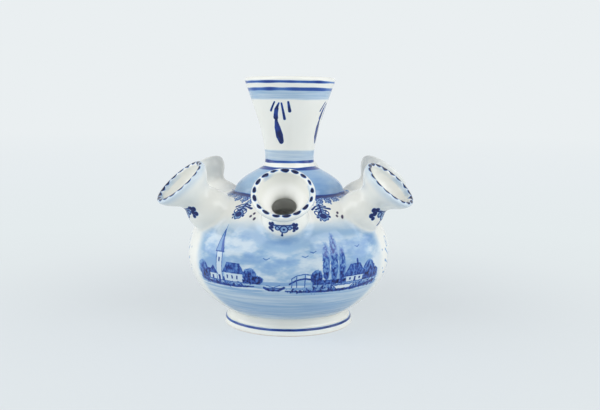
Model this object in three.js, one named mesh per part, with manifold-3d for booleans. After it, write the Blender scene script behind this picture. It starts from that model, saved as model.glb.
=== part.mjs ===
// A tulip vase of glazed earthenware: a round bowl on a foot ring, a dome and a
// trumpet neck on its shoulder, and a ring of short trumpet spouts for single stems.
// Millimetres, +Z up. It stands on Z = 0 with its axis on Z, and spout_front points to -Y.
import * as THREE from "three";
import { mergeVertices } from "three/addons/utils/BufferGeometryUtils.js";
import Module from "manifold-3d";

// Walls and joints. Each piece is set on the next with a layer of slip, left here as a gap.
const potWall = 4.5;
const floorThickness = 6;
const slipGap = 0.3;

// Foot ring: its height, its radius on the ground, at the painted line and at its neck.
const footHeight = 8;
const footRadius = 53.1;
const footLineRadius = 51.9;
const footLineHeight = 5.6;
const footNeckRadius = 48.2;
const footTreadWidth = 7;
const footEdgeRound = 0.8;

// Bowl: from the foot ring up to the belly, then up to the shoulder line.
const bellyRadius = 82.6;
const bellyRise = 50.5;
const shoulderRise = 49.9;
const shoulderRadius = 45.2;
const toeFlare = 1.6;
const toeRise = 4.5;

// Dome: its rise, and how its outline leaves the shoulder and reaches the neck.
const domeRise = 19.9;
const domeStartAngle = 70;
const domeStartReach = 9;
const domeEndAngle = 30;
const domeEndReach = 11.3;

// Neck: its foot on the dome, its waist and its flared mouth.
const neckRise = 71.7;
const neckFootRadius = 21.8;
const neckWaistRadius = 19.9;
const neckWaistRise = 5.7;
const neckMouthRadius = 36.8;
const neckMouthSlope = 19.7;
const neckWaistReach = 18;
const neckMouthReach = 23.2;

// Spouts: where a mouth's centre lies past the belly and above the shoulder, and how it tilts.
const spoutReach = 12;
const spoutLift = 10.6;
const spoutTilt = 48;
const spoutLean = 4.7;
const spoutWall = 4.3;
const spoutMouthRadius = 22.9;
const spoutWaistRadius = 13.3;
const spoutWaistDepth = 19.5;
const spoutBulbRadius = 18.4;
const spoutBulbDepth = 38;
const cupReach = 8.2;
const cupInset = 1.4;
const waistReachUp = 6.5;
const waistReachDown = 3.5;
const bulbReach = 11;

// Names of the spouts in order round the vase, seen from above, starting at the front.
const spoutNames = [
  "spout_front",
  "spout_front_right",
  "spout_back_right",
  "spout_back",
  "spout_back_left",
  "spout_front_left",
];

// How finely round forms are cut into flats.
const potSides = 48;
const neckSides = 36;
const spoutSides = 20;
const bellySteps = 7;
const domeSteps = 5;
const neckSteps = 7;
const lipSteps = 4;
const cupSteps = 4;
const bulbSteps = 3;
const filletSteps = 3;
const sameSpot = 1e-4;

// Glaze colours and their gloss.
const whiteGlaze = 0xe9ecec;
const shadedGlaze = 0xe4e3df;
const washedGlaze = 0x7fa3cf;
const glazeRoughness = 0.16;

// Heights that follow from the sizes above.
const bowlBase = footHeight + slipGap;
const bowlFloor = bowlBase + floorThickness;
const bellyHeight = footHeight + bellyRise;
const toeHeight = footHeight + toeRise;
const shoulderHeight = bellyHeight + shoulderRise;
const domeBase = shoulderHeight + slipGap;
const domeTop = shoulderHeight + domeRise;
const neckBase = domeTop + slipGap;
const vaseHeight = domeTop + neckRise;
const toeRadius = footNeckRadius + toeFlare;
const spoutDistance = bellyRadius + spoutReach;
const spoutHeight = shoulderHeight + spoutLift;

const wasm = await Module();
wasm.setup();
const radians = THREE.MathUtils.degToRad;
const point = (radius, height) => new THREE.Vector2(radius, height);

// Drops points that repeat the one before, which joined curves bring.
function outline(...runs) {
  const points = runs.flat();
  return points.filter((p, i) => i === 0 || p.distanceTo(points[i - 1]) > sameSpot);
}

// Turns an outline of radius and height round Z. The outline runs up its outer side.
function turned(points, sides) {
  return new THREE.LatheGeometry(points, sides).rotateX(Math.PI / 2);
}

function closedRing(points, sides) {
  return turned(outline(points, [points[0].clone()]), sides);
}

function toSolid(geometry) {
  const bare = geometry.clone();
  bare.deleteAttribute("normal");
  bare.deleteAttribute("uv");
  const merged = mergeVertices(bare, sameSpot);
  return new wasm.Manifold(
    new wasm.Mesh({
      numProp: 3,
      vertProperties: merged.attributes.position.array,
      triVerts: new Uint32Array(merged.index.array),
    }),
  );
}

function toGeometry(solid) {
  const mesh = solid.getMesh();
  const geometry = new THREE.BufferGeometry();
  geometry.setAttribute("position", new THREE.BufferAttribute(mesh.vertProperties, 3));
  geometry.setIndex(new THREE.BufferAttribute(mesh.triVerts, 1));
  geometry.computeVertexNormals();
  return geometry;
}

function glazed(name, geometry, color) {
  const look = { color, roughness: glazeRoughness, metalness: 0 };
  const material = new THREE.MeshStandardMaterial(look);
  const mesh = new THREE.Mesh(geometry, material);
  mesh.name = name;
  return mesh;
}

// Half-height of the ellipse of a given half-width that passes a radius at some rise.
function halfHeight(halfWidth, radius, rise) {
  return rise / Math.sqrt(1 - (radius / halfWidth) ** 2);
}

function ellipseArc(halfWidth, half, fromHeight, toHeight, steps) {
  const from = Math.asin((fromHeight - bellyHeight) / half);
  const to = Math.asin((toHeight - bellyHeight) / half);
  const arc = new THREE.EllipseCurve(0, bellyHeight, halfWidth, half, from, to);
  return arc.getPoints(steps);
}

// Each spout is drawn down to this depth, well inside the bowl, and cut off at the seat.
const spoutRoot = (spoutDistance - shoulderRadius) / Math.cos(radians(spoutTilt));

const lowerHalf = halfHeight(bellyRadius, toeRadius, bellyHeight - toeHeight);
const upperHalf = halfHeight(bellyRadius, shoulderRadius, shoulderRise);

// The bowl's outer side, from its underside to the shoulder line, grown by a margin.
function bowlSide(margin) {
  const width = bellyRadius + margin;
  const low = lowerHalf + margin;
  const high = upperHalf + margin;
  return outline(
    [point(footNeckRadius + margin, bowlBase - margin)],
    ellipseArc(width, low, toeHeight, bellyHeight, bellySteps),
    ellipseArc(width, high, bellyHeight, shoulderHeight, bellySteps),
  );
}

function bowlShell() {
  const openingRadius = shoulderRadius - potWall;
  const width = bellyRadius - potWall;
  const low = lowerHalf - potWall;
  const high = upperHalf - potWall;
  const openingHeight = bellyHeight + high * Math.sqrt(1 - (openingRadius / width) ** 2);
  const inside = outline(
    ellipseArc(width, low, bowlFloor, bellyHeight, bellySteps),
    ellipseArc(width, high, bellyHeight, openingHeight, bellySteps),
    [point(openingRadius, shoulderHeight)],
  ).reverse();
  const profile = outline([point(0, bowlBase)], bowlSide(0), inside, [point(0, bowlFloor)]);
  return toSolid(turned(profile, potSides));
}

// A solid block that fills the bowl and the dome, one layer of slip larger. Spouts are cut to it.
function seatBlock() {
  const side = outline(bowlSide(slipGap), domeSide(-slipGap));
  const top = side[side.length - 1].y;
  return toSolid(turned(outline([point(0, side[0].y)], side, [point(0, top)]), potSides));
}

// One side of a spout, drawn as radius and height over its mouth, less an inset.
function spoutSide(inset) {
  const mouth = spoutMouthRadius - inset;
  const waist = spoutWaistRadius - inset;
  const bulb = spoutBulbRadius - inset;
  const lip = -spoutWall / 2;
  const cup = new THREE.CubicBezierCurve(
    point(mouth, lip),
    point(mouth - cupInset, lip - cupReach),
    point(waist, waistReachUp - spoutWaistDepth),
    point(waist, -spoutWaistDepth),
  );
  const swell = new THREE.CubicBezierCurve(
    point(waist, -spoutWaistDepth),
    point(waist, -spoutWaistDepth - waistReachDown),
    point(bulb, bulbReach - spoutBulbDepth),
    point(bulb, -spoutBulbDepth),
  );
  return outline(cup.getPoints(cupSteps), swell.getPoints(bulbSteps), [point(bulb, -spoutRoot)]);
}

// Leans a spout and sets its mouth in place, at an angle from the front.
function spoutPlace(angle) {
  const lean = Math.tan(radians(spoutLean));
  return new THREE.Matrix4()
    .makeRotationZ(angle)
    .multiply(new THREE.Matrix4().makeTranslation(0, -spoutDistance, spoutHeight))
    .multiply(new THREE.Matrix4().makeRotationX(radians(90 - spoutTilt)))
    .multiply(new THREE.Matrix4().makeShear(0, 0, 0, 0, 0, -lean));
}

function spoutBore(angle) {
  const side = spoutSide(spoutWall).reverse();
  const profile = outline([point(0, side[0].y)], side, [point(0, side[side.length - 1].y)]);
  return toSolid(turned(profile, spoutSides).applyMatrix4(spoutPlace(angle)));
}

function spoutTube(angle) {
  const lipRound = spoutWall / 2;
  const lip = new THREE.EllipseCurve(
    spoutMouthRadius - lipRound, -lipRound, lipRound, lipRound, 0, Math.PI,
  );
  const outside = spoutSide(0).reverse();
  const profile = outline(outside, lip.getPoints(lipSteps), spoutSide(spoutWall));
  return toSolid(closedRing(profile, spoutSides).applyMatrix4(spoutPlace(angle)));
}

function bowl(angles) {
  const pierced = angles.reduce((shell, angle) => shell.subtract(spoutBore(angle)), bowlShell());
  return glazed("bowl", toGeometry(pierced), whiteGlaze);
}

function spout(name, angle, block) {
  return glazed(name, toGeometry(spoutTube(angle).subtract(block)), whiteGlaze);
}

function footRing() {
  const treadInside = footRadius - footTreadWidth;
  const seatInside = footNeckRadius - potWall;
  const flare = new THREE.QuadraticBezierCurve(
    point(footLineRadius, footLineHeight),
    point(footNeckRadius, footLineHeight),
    point(footNeckRadius, footHeight),
  );
  const profile = outline(
    [point(footRadius - footEdgeRound, 0), point(footRadius, footEdgeRound)],
    flare.getPoints(filletSteps),
    [point(seatInside, footHeight), point(treadInside, 0)],
  );
  return glazed("foot_ring", closedRing(profile, potSides), shadedGlaze);
}

// One side of the dome, less an inset that thins it inwards and downwards.
function domeSide(inset) {
  const startAngle = radians(domeStartAngle);
  const endAngle = radians(domeEndAngle);
  const start = point(shoulderRadius - inset, domeBase);
  const end = point(neckFootRadius - inset, domeTop);
  const crownEnd = point(neckFootRadius, domeTop - inset);
  const startReach = domeStartReach - inset / 2;
  return new THREE.CubicBezierCurve(
    start,
    point(start.x - startReach * Math.cos(startAngle), start.y + startReach * Math.sin(startAngle)),
    point(
      crownEnd.x + domeEndReach * Math.cos(endAngle) - inset,
      crownEnd.y - domeEndReach * Math.sin(endAngle),
    ),
    point(end.x, crownEnd.y),
  ).getPoints(domeSteps);
}

function shoulderDome() {
  const openingRadius = neckFootRadius - potWall;
  const inside = outline(domeSide(potWall), [point(openingRadius, domeTop)]).reverse();
  const profile = outline(domeSide(0), inside);
  return glazed("shoulder_dome", closedRing(profile, potSides), washedGlaze);
}

// One side of the neck, less an inset.
function neckSide(inset) {
  const waistHeight = domeTop + neckWaistRise;
  const lipHeight = vaseHeight - potWall / 2;
  const slope = radians(neckMouthSlope);
  const foot = new THREE.QuadraticBezierCurve(
    point(neckFootRadius - inset, neckBase),
    point(neckWaistRadius - inset, neckBase),
    point(neckWaistRadius - inset, waistHeight),
  );
  const trumpet = new THREE.CubicBezierCurve(
    point(neckWaistRadius - inset, waistHeight),
    point(neckWaistRadius - inset, waistHeight + neckWaistReach),
    point(
      neckMouthRadius - inset - neckMouthReach * Math.sin(slope),
      lipHeight - neckMouthReach * Math.cos(slope),
    ),
    point(neckMouthRadius - inset, lipHeight),
  );
  return outline(foot.getPoints(filletSteps), trumpet.getPoints(neckSteps));
}

function neck() {
  const lipRound = potWall / 2;
  const lip = new THREE.EllipseCurve(
    neckMouthRadius - lipRound, vaseHeight - lipRound, lipRound, lipRound, 0, Math.PI,
  );
  const profile = outline(neckSide(0), lip.getPoints(lipSteps), neckSide(potWall).reverse());
  return glazed("neck", closedRing(profile, neckSides), whiteGlaze);
}

const angles = spoutNames.map((_, i) => (i * 2 * Math.PI) / spoutNames.length);
const block = seatBlock();
const vase = new THREE.Group();
vase.add(footRing(), bowl(angles), shoulderDome(), neck());
spoutNames.forEach((name, i) => vase.add(spout(name, angles[i], block)));

export default vase;
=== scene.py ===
# %% [markdown]
# # A tulip vase in blue and white
#
# The real vase is slip-cast earthenware. A round pot stands on a foot ring, a
# low dome closes the pot, a trumpet neck stands on the dome, and six short
# trumpet spouts are luted round the shoulder, each for one tulip. All of it is
# covered in white glaze and painted in cobalt before the last firing.
#
# This lesson builds each of the ten pieces as a smooth turned or cast mesh,
# places it on the CAD part that it stands for, and then paints it with
# procedural materials. The CAD part is loaded first, because every piece has
# to lie where the CAD says.

import math

import bmesh
import bpy
from mathutils import Matrix, Vector
from mathutils.geometry import interpolate_bezier


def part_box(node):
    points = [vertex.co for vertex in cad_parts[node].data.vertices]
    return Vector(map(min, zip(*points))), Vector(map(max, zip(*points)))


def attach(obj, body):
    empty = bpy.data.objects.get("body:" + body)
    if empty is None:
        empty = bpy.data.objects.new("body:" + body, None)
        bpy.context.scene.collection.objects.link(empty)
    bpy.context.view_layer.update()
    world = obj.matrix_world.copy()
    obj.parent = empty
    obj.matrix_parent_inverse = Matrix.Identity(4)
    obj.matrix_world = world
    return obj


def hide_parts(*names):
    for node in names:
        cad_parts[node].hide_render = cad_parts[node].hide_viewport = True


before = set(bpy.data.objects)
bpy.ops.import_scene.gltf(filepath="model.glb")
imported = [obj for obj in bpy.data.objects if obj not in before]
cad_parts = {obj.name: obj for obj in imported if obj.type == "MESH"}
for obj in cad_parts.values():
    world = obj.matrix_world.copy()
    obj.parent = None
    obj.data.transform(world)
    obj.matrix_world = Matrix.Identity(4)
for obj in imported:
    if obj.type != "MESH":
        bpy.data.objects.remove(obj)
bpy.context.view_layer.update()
print("CAD nodes:", sorted(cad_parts))

# %% [markdown]
# ## Sizes
#
# The sizes are the potter's own, in millimetres, and each is written once.
# Blender works in metres, so a mesh is scaled by MM as it is made. The heights
# are measured from the table.

# %% Sizes of the pot, the dome and the neck
MM = 0.001
WALL = 4.5

foot_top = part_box("foot_ring")[1].z / MM
vase_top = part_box("neck")[1].z / MM
FOOT_RADIUS = 53.1
FOOT_EDGE = 0.8
FOOT_SIDE_TOP = (52.15, 4.7)
FOOT_SHOULDER = (51.9, 5.7)
FOOT_SHOULDER_END = (50.8, 5.85)
FOOT_HOLLOW = (49.6, 6.1)
FOOT_NECK_RADIUS = 49.4
FOOT_TREAD_INNER = 46.1
FOOT_INNER_TOP = 43.7

BELLY_RADIUS = 82.6
BELLY_HEIGHT = 58.5
TOE_RADIUS = 49.8
TOE_HEIGHT = 12.5
TOE_RISE = 2.4
TOE_REACH = 1.8
SHOULDER_RADIUS = 45.2
SHOULDER_HEIGHT = 108.4
FLOOR_THICKNESS = 6.0
SLIP_GAP = 0.3

DOME_TOP_RADIUS = 21.8
DOME_TOP_HEIGHT = 128.3
DOME_FOOT_REACH = 9.0
DOME_FOOT_SLOPE = math.radians(70)
DOME_TOP_REACH = 11.3
DOME_TOP_SLOPE = math.radians(30)
NECK_WAIST_RADIUS = 19.9
NECK_WAIST_HEIGHT = 134.0
NECK_MOUTH_RADIUS = 36.8
NECK_MOUTH_SLOPE = math.radians(19.7)
NECK_WAIST_REACH = 18.0
NECK_MOUTH_REACH = 23.2
NECK_LIP = WALL / 2
print("vase height in mm:", round(vase_top, 2))

# %% Sizes of the spouts
SPOUTS = {
    "spout_front": 0,
    "spout_front_right": 60,
    "spout_back_right": 120,
    "spout_back": 180,
    "spout_back_left": 240,
    "spout_front_left": 300,
}
# Each spout was set by hand, so the four seen best in the photo stand a little
# off the even ring: degrees tipped out, degrees turned, mm moved (sideways,
# out, up).
SPOUT_SET = {
    "spout_front": (4.0, 0.0, (0.6, 0.0, -1.8)),
    "spout_front_right": (0.0, 5.0, (0.0, -2.2, 1.0)),
    "spout_back_right": (0.0, 0.0, (0.0, 0.0, 1.8)),
    "spout_front_left": (0.0, -4.0, (0.0, 0.4, 1.0)),
}
EVENLY_SET = (0.0, 0.0, (0.0, 0.0, 0.0))
SPOUT_MOUTH_REACH = 94.6
SPOUT_MOUTH_HEIGHT = 119.0
SPOUT_TIP_ANGLE = math.radians(90 - 48)
SPOUT_LEAN = math.tan(math.radians(4.7))
SPOUT_WALL = 4.3
SPOUT_LIP = SPOUT_WALL / 2
SPOUT_MOUTH_RADIUS = 22.9
SPOUT_WAIST_RADIUS = 13.3
SPOUT_WAIST_DEPTH = 19.5
SPOUT_BULB_RADIUS = 17.7
SPOUT_BULB_DEPTH = 36.0
SPOUT_FLARE_RUN = 1.4
SPOUT_FLARE_DEPTH = 10.35
SPOUT_WAIST_HANDLES = (13.0, 23.0)
SPOUT_BULB_HANDLE = 27.0
SPOUT_BORE = 14.1
ROOT_RISE = 4.6
ROOT_RUN = 5.6
print("spouts:", len(SPOUTS), "every", 360 // len(SPOUTS), "degrees")

# %% [markdown]
# ## Outlines that are spun
#
# A potter turns the master of such a vase on a wheel, so every piece but the
# roots of the spouts is a solid of revolution. An outline is a list of
# (radius, height) pairs, made of arcs and Bezier curves, and `spin_outline`
# turns it once round. The outline is closed, so the wall has its real
# thickness and the mesh is one closed body.

# %% Curves for the outlines
def cubic(start, handle, end_handle, end, steps):
    """Points on a Bezier curve after its start, as (radius, height)."""
    corners = [Vector((*point, 0)) for point in (start, handle, end_handle, end)]
    return [(p.x, p.y) for p in interpolate_bezier(*corners, steps + 1)][1:]


def quadratic(start, corner, end, steps):
    """A Bezier curve with one handle, written as a cubic one."""
    start, corner, end = Vector(start), Vector(corner), Vector(end)
    return cubic(start, start.lerp(corner, 2 / 3), end.lerp(corner, 2 / 3), end, steps)


def arc(centre, radii, start_angle, end_angle, steps):
    """Points on an elliptic arc after its start, with angles in degrees."""
    angles = [
        math.radians(start_angle + (end_angle - start_angle) * step / steps)
        for step in range(1, steps + 1)
    ]
    return [
        (centre[0] + radii[0] * math.cos(a), centre[1] + radii[1] * math.sin(a))
        for a in angles
    ]


def line(start, end, steps):
    """Points on a straight line after its start."""
    start, end = Vector(start), Vector(end)
    return [tuple(start.lerp(end, step / steps)) for step in range(1, steps + 1)]


print("a quarter circle ends at", arc((0, 0), (1, 1), 0, 90, 4)[-1])

# %% Turn an outline into a mesh
SAME_PLACE = 1e-7


def spin_outline(outline, steps, closed):
    """A bmesh in metres: an outline of (radius, height) in mm, once round +Z."""
    work = bmesh.new()
    corners = [work.verts.new((r * MM, 0, z * MM)) for r, z in outline]
    pairs = list(zip(corners, corners[1:] + corners[:1]))
    edges = [work.edges.new(pair) for pair in (pairs if closed else pairs[:-1])]
    bmesh.ops.spin(
        work,
        geom=corners + edges,
        cent=(0, 0, 0),
        axis=(0, 0, 1),
        angle=math.tau,
        steps=steps,
        use_merge=True,
        use_duplicate=False,
    )
    bmesh.ops.remove_doubles(work, verts=work.verts[:], dist=SAME_PLACE)
    bmesh.ops.recalc_face_normals(work, faces=work.faces[:])
    return work


print("corners are welded within", SAME_PLACE, "m")

# %% Make a piece that rides on the vase
SMOOTH_DEGREES = 38


def add_object(name, data):
    """Puts a mesh, a lamp or a camera into the scene."""
    made = bpy.data.objects.new(name, data)
    bpy.context.scene.collection.objects.link(made)
    return made


def mesh_of(name, work):
    """Writes a bmesh to a mesh and frees it."""
    mesh = bpy.data.meshes.new(name)
    work.to_mesh(mesh)
    work.free()
    return mesh


def smooth(mesh):
    """Shades a mesh smooth, but for its sharp edges."""
    mesh.shade_smooth()
    mesh.set_sharp_from_angle(angle=math.radians(SMOOTH_DEGREES))


def finish_piece(name, work, stands_for):
    """Makes a smooth object that rides on the vase and stands for a CAD node."""
    mesh = mesh_of(name, work)
    smooth(mesh)
    piece = add_object(name, mesh)
    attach(piece, "root")
    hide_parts(stands_for)
    print(name, "has", len(mesh.polygons), "faces")
    return piece


def turned_piece(name, outline, stands_for, steps=192, closed=True):
    """Turns an outline into a piece of the vase."""
    return finish_piece(name, spin_outline(outline, steps, closed), stands_for)


print("edges of more than", SMOOTH_DEGREES, "degrees stay sharp")

# %% [markdown]
# ## The foot ring
#
# The foot ring is what the vase stands on. Its tread is wiped clean of glaze
# before firing, so that the vase doesn't stick to the kiln shelf, and its
# outside flares a little and turns in over a soft shoulder, where the painter
# runs the lowest blue line. It is one small closed outline.

# %% Foot ring
LAP = 0.05
foot_outline = [(FOOT_RADIUS - FOOT_EDGE, 0.0)]
foot_outline += arc(
    (FOOT_RADIUS - FOOT_EDGE, FOOT_EDGE), (FOOT_EDGE, FOOT_EDGE), -90, 8, 4
)
foot_outline += line(foot_outline[-1], FOOT_SIDE_TOP, 3)
foot_outline += quadratic(foot_outline[-1], FOOT_SHOULDER, FOOT_SHOULDER_END, 4)
foot_outline += quadratic(
    foot_outline[-1], FOOT_HOLLOW, (FOOT_NECK_RADIUS, foot_top + LAP), 6
)
foot_outline += [(FOOT_INNER_TOP, foot_top + LAP)]
foot_outline += line(foot_outline[-1], (FOOT_TREAD_INNER - 0.5, FOOT_EDGE), 3)
foot_outline += arc(
    (FOOT_TREAD_INNER + 0.3, FOOT_EDGE), (FOOT_EDGE, FOOT_EDGE), 180, 270, 4
)
foot = turned_piece("glazed_foot_ring", foot_outline, "foot_ring")

# %% [markdown]
# ## The bowl
#
# The belly is two half ellipses that meet at its widest line. The same curves,
# moved in by the wall, make the inside. Six holes let the stems down into the
# water. A Boolean modifier with six round cutters makes the holes, because it
# keeps the rest of the turned grid as it is, and its result is applied.

# %% Curves of the belly
def half_height(rise, end_radius):
    """The half height of an ellipse that falls to end_radius over rise."""
    return rise / math.sqrt(1 - (end_radius / BELLY_RADIUS) ** 2)


LOWER_HALF = half_height(BELLY_HEIGHT - TOE_HEIGHT, TOE_RADIUS)
UPPER_HALF = half_height(SHOULDER_HEIGHT - BELLY_HEIGHT, SHOULDER_RADIUS)


def ellipse_angle(radius, wide):
    """The angle, in degrees, where an ellipse of half width wide has a radius."""
    return math.degrees(math.acos(radius / wide))


def belly_side(inset, low_radius, steps):
    """The belly's two arcs from a radius near the toe up to the shoulder."""
    wide = BELLY_RADIUS - inset
    centre = (0, BELLY_HEIGHT)
    low = (wide, LOWER_HALF - inset)
    high = (wide, UPPER_HALF - inset)
    return arc(centre, low, -ellipse_angle(low_radius, wide), 0, steps) + arc(
        centre, high, 0, ellipse_angle(SHOULDER_RADIUS - inset, wide), steps
    )


print("belly curves:", round(LOWER_HALF, 1), "and", round(UPPER_HALF, 1), "mm high")

# %% Outline of the bowl
toe_angle = math.radians(ellipse_angle(TOE_RADIUS, BELLY_RADIUS))
toe_run = Vector((BELLY_RADIUS * math.sin(toe_angle), LOWER_HALF * math.cos(toe_angle)))
toe_back = Vector((TOE_RADIUS, TOE_HEIGHT)) - toe_run.normalized() * TOE_REACH
bowl_outline = [(0.0, foot_top), (FOOT_INNER_TOP, foot_top)]
bowl_outline += [(FOOT_NECK_RADIUS, foot_top)]
bowl_outline += cubic(
    bowl_outline[-1],
    (FOOT_NECK_RADIUS, foot_top + TOE_RISE),
    tuple(toe_back),
    (TOE_RADIUS, TOE_HEIGHT),
    8,
)
bowl_outline += belly_side(0, TOE_RADIUS, 46)
inner_floor = foot_top + FLOOR_THICKNESS + SLIP_GAP
floor_drop = (BELLY_HEIGHT - inner_floor) / (LOWER_HALF - WALL)
floor_radius = (BELLY_RADIUS - WALL) * math.sqrt(1 - floor_drop**2)
bowl_outline += list(reversed(belly_side(WALL, floor_radius, 26)))
bowl_outline += [(floor_radius, inner_floor), (0.0, inner_floor)]
print("the bowl's outline has", len(bowl_outline), "points")

# %% Where a spout stands
def spout_place(name):
    """The matrix, in mm, from a spout's own axes to the vase's axes."""
    tip, turn, (side, out, up) = SPOUT_SET.get(name, EVENLY_SET)
    lean = Matrix.Identity(4)
    lean[1][2] = -SPOUT_LEAN
    mouth = (side, -SPOUT_MOUTH_REACH - out, SPOUT_MOUTH_HEIGHT + up)
    return (
        Matrix.Rotation(math.radians(SPOUTS[name]), 4, "Z")
        @ Matrix.Translation(mouth)
        @ Matrix.Rotation(math.radians(turn), 4, "Z")
        @ Matrix.Rotation(SPOUT_TIP_ANGLE + math.radians(tip), 4, "X")
        @ lean
    )


METRES = Matrix.Scale(MM, 4)
print("front mouth at", [round(x, 1) for x in spout_place("spout_front").translation])

# %% Bowl with its six holes
HOLE_TOP_DEPTH = 33.0
HOLE_END_DEPTH = 58.0


def hole_cutters():
    """Six round cutters in one object, each along its spout's axis."""
    work = bmesh.new()
    middle = Matrix.Translation((0, 0, -(HOLE_TOP_DEPTH + HOLE_END_DEPTH) / 2))
    for name in SPOUTS:
        bmesh.ops.create_cone(
            work,
            cap_ends=True,
            segments=64,
            radius1=SPOUT_BORE,
            radius2=SPOUT_BORE,
            depth=HOLE_END_DEPTH - HOLE_TOP_DEPTH,
            matrix=METRES @ spout_place(name) @ middle,
        )
    return add_object("hole_cutters", mesh_of("hole_cutters", work))


def cut_holes(piece, cutters):
    """Cuts the holes, keeps the result as the piece's mesh, drops the cutters."""
    cut = piece.modifiers.new("holes", "BOOLEAN")
    cut.operation = "DIFFERENCE"
    cut.solver = "EXACT"
    cut.object = cutters
    bpy.context.view_layer.update()
    result = piece.evaluated_get(bpy.context.evaluated_depsgraph_get())
    piece.modifiers.clear()
    piece.data = bpy.data.meshes.new_from_object(result)
    smooth(piece.data)
    bpy.data.objects.remove(cutters)


bowl = turned_piece("painted_bowl", bowl_outline, "bowl", closed=False)
cut_holes(bowl, hole_cutters())
print("bowl with holes has", len(bowl.data.polygons), "faces")

# %% [markdown]
# ## The shoulder dome
#
# The dome closes the pot and carries the neck. It is luted on with slip, so its
# foot has a small soft fillet that runs out on the bowl. The last point of the
# fillet dips under the bowl's surface, and no edge shows.

# %% Shoulder dome
def bowl_height(radius):
    """The height of the bowl's outer skin above the belly, at a radius."""
    return BELLY_HEIGHT + UPPER_HALF * math.sqrt(1 - (radius / BELLY_RADIUS) ** 2)


def dome_side(inset, start, steps):
    """The dome's curve from its foot to the neck, moved in by inset."""
    foot_reach = DOME_FOOT_REACH - inset / 2
    top = (DOME_TOP_RADIUS - inset, DOME_TOP_HEIGHT - inset)
    foot_handle = (
        start[0] - foot_reach * math.cos(DOME_FOOT_SLOPE),
        start[1] + foot_reach * math.sin(DOME_FOOT_SLOPE),
    )
    top_handle = (
        DOME_TOP_RADIUS + (DOME_TOP_REACH - inset) * math.cos(DOME_TOP_SLOPE),
        top[1] - DOME_TOP_REACH * math.sin(DOME_TOP_SLOPE),
    )
    return cubic(start, foot_handle, top_handle, top, steps)


FILLET_OUT = SHOULDER_RADIUS + 1.6
FILLET_END = (SHOULDER_RADIUS - 0.5, SHOULDER_HEIGHT + 1.5)
FILLET_TAIL = FILLET_OUT + 1.5
FILLET_DIP = 0.3
dome_outline = [(FILLET_TAIL, bowl_height(FILLET_TAIL) - FILLET_DIP)]
dome_outline += [(FILLET_OUT, bowl_height(FILLET_OUT))]
dome_outline += quadratic(
    dome_outline[-1], (SHOULDER_RADIUS, SHOULDER_HEIGHT + 0.1), FILLET_END, 6
)
dome_outline += dome_side(0, FILLET_END, 40)
inner_foot = (SHOULDER_RADIUS - WALL, SHOULDER_HEIGHT - LAP)
dome_outline += list(reversed([inner_foot] + dome_side(WALL, inner_foot, 24)))
dome = turned_piece(
    "washed_shoulder_dome", dome_outline, "shoulder_dome"
)

# %% [markdown]
# ## The neck
#
# The neck is a trumpet: a narrow waist on a small fillet, then one long curve
# out to the mouth, and a lip that is a half circle as wide as the wall.

# %% Neck
def neck_side(inset, steps):
    """The trumpet's curve from the waist to the lip, moved in by inset."""
    mouth = (NECK_MOUTH_RADIUS - inset, vase_top - NECK_LIP)
    waist = (NECK_WAIST_RADIUS - inset, NECK_WAIST_HEIGHT)
    return cubic(
        waist,
        (waist[0], waist[1] + NECK_WAIST_REACH),
        (
            mouth[0] - NECK_MOUTH_REACH * math.sin(NECK_MOUTH_SLOPE),
            mouth[1] - NECK_MOUTH_REACH * math.cos(NECK_MOUTH_SLOPE),
        ),
        mouth,
        steps,
    )


NECK_FOOT = (DOME_TOP_RADIUS + 0.6, DOME_TOP_HEIGHT - 0.75)
NECK_FILLET = (NECK_WAIST_RADIUS + 0.3, DOME_TOP_HEIGHT + 1.2)
neck_outline = [NECK_FOOT]
neck_outline += quadratic(
    NECK_FOOT, NECK_FILLET, (NECK_WAIST_RADIUS, NECK_WAIST_HEIGHT), 10
)
neck_outline += neck_side(0, 48)
neck_outline += arc(
    (NECK_MOUTH_RADIUS - NECK_LIP, vase_top - NECK_LIP), (NECK_LIP,) * 2, 0, 180, 14
)
neck_outline += list(reversed(neck_side(WALL, 40)))[1:]
neck_outline += [(NECK_WAIST_RADIUS - WALL, NECK_WAIST_HEIGHT)]
neck_outline += [(DOME_TOP_RADIUS - WALL, DOME_TOP_HEIGHT - WALL + 0.2)]
neck = turned_piece("striped_neck", neck_outline, "neck", steps=160)

# %% [markdown]
# ## The spouts
#
# Each spout is a small trumpet cast in its own mould and luted to the pot. Its
# mouth flares like the neck, it has a waist, and below the waist it swells to
# a bulb that runs into the belly over a soft fillet of slip.
#
# The outline is spun round the spout's own axis, and then leaned, tipped and
# set round the pot by one matrix. Only the root isn't round: each of its rings
# is spun as a marker, at a height that tells its number, and is then moved to
# where that meridian of the spout meets the belly. The root ends in a thin
# edge just under the bowl's glaze, so that the two read as one surface.

# %% Outline of a spout above its root
ROOT_START_DEPTH = 29.0
ROOT_SEARCH_DEPTH = 60.0


def spout_side(inset, steps):
    """Mouth to waist to bulb, as (radius, height over the mouth)."""
    mouth = (SPOUT_MOUTH_RADIUS - inset, -SPOUT_LIP)
    waist = (SPOUT_WAIST_RADIUS - inset, -SPOUT_WAIST_DEPTH)
    bulb = (SPOUT_BULB_RADIUS - inset, -SPOUT_BULB_DEPTH)
    over_waist, under_waist = [(waist[0], -depth) for depth in SPOUT_WAIST_HANDLES]
    under_lip = (mouth[0] - SPOUT_FLARE_RUN, -SPOUT_FLARE_DEPTH)
    flare = cubic(mouth, under_lip, over_waist, waist, steps)
    swell = cubic(waist, under_waist, (bulb[0], -SPOUT_BULB_HANDLE), bulb, steps)
    return [mouth] + flare + swell


def side_radius(depth):
    """The outer radius of a spout at a depth below its mouth."""
    points = SPOUT_SKIN
    for (r0, h0), (r1, h1) in zip(points, points[1:]):
        if -h0 <= depth <= -h1:
            return r0 + (r1 - r0) * (depth + h0) / (h0 - h1)
    return SPOUT_BULB_RADIUS


SPOUT_SKIN = spout_side(0, 24)
print("waist radius", SPOUT_WAIST_RADIUS, "bulb radius", side_radius(40))

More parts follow.
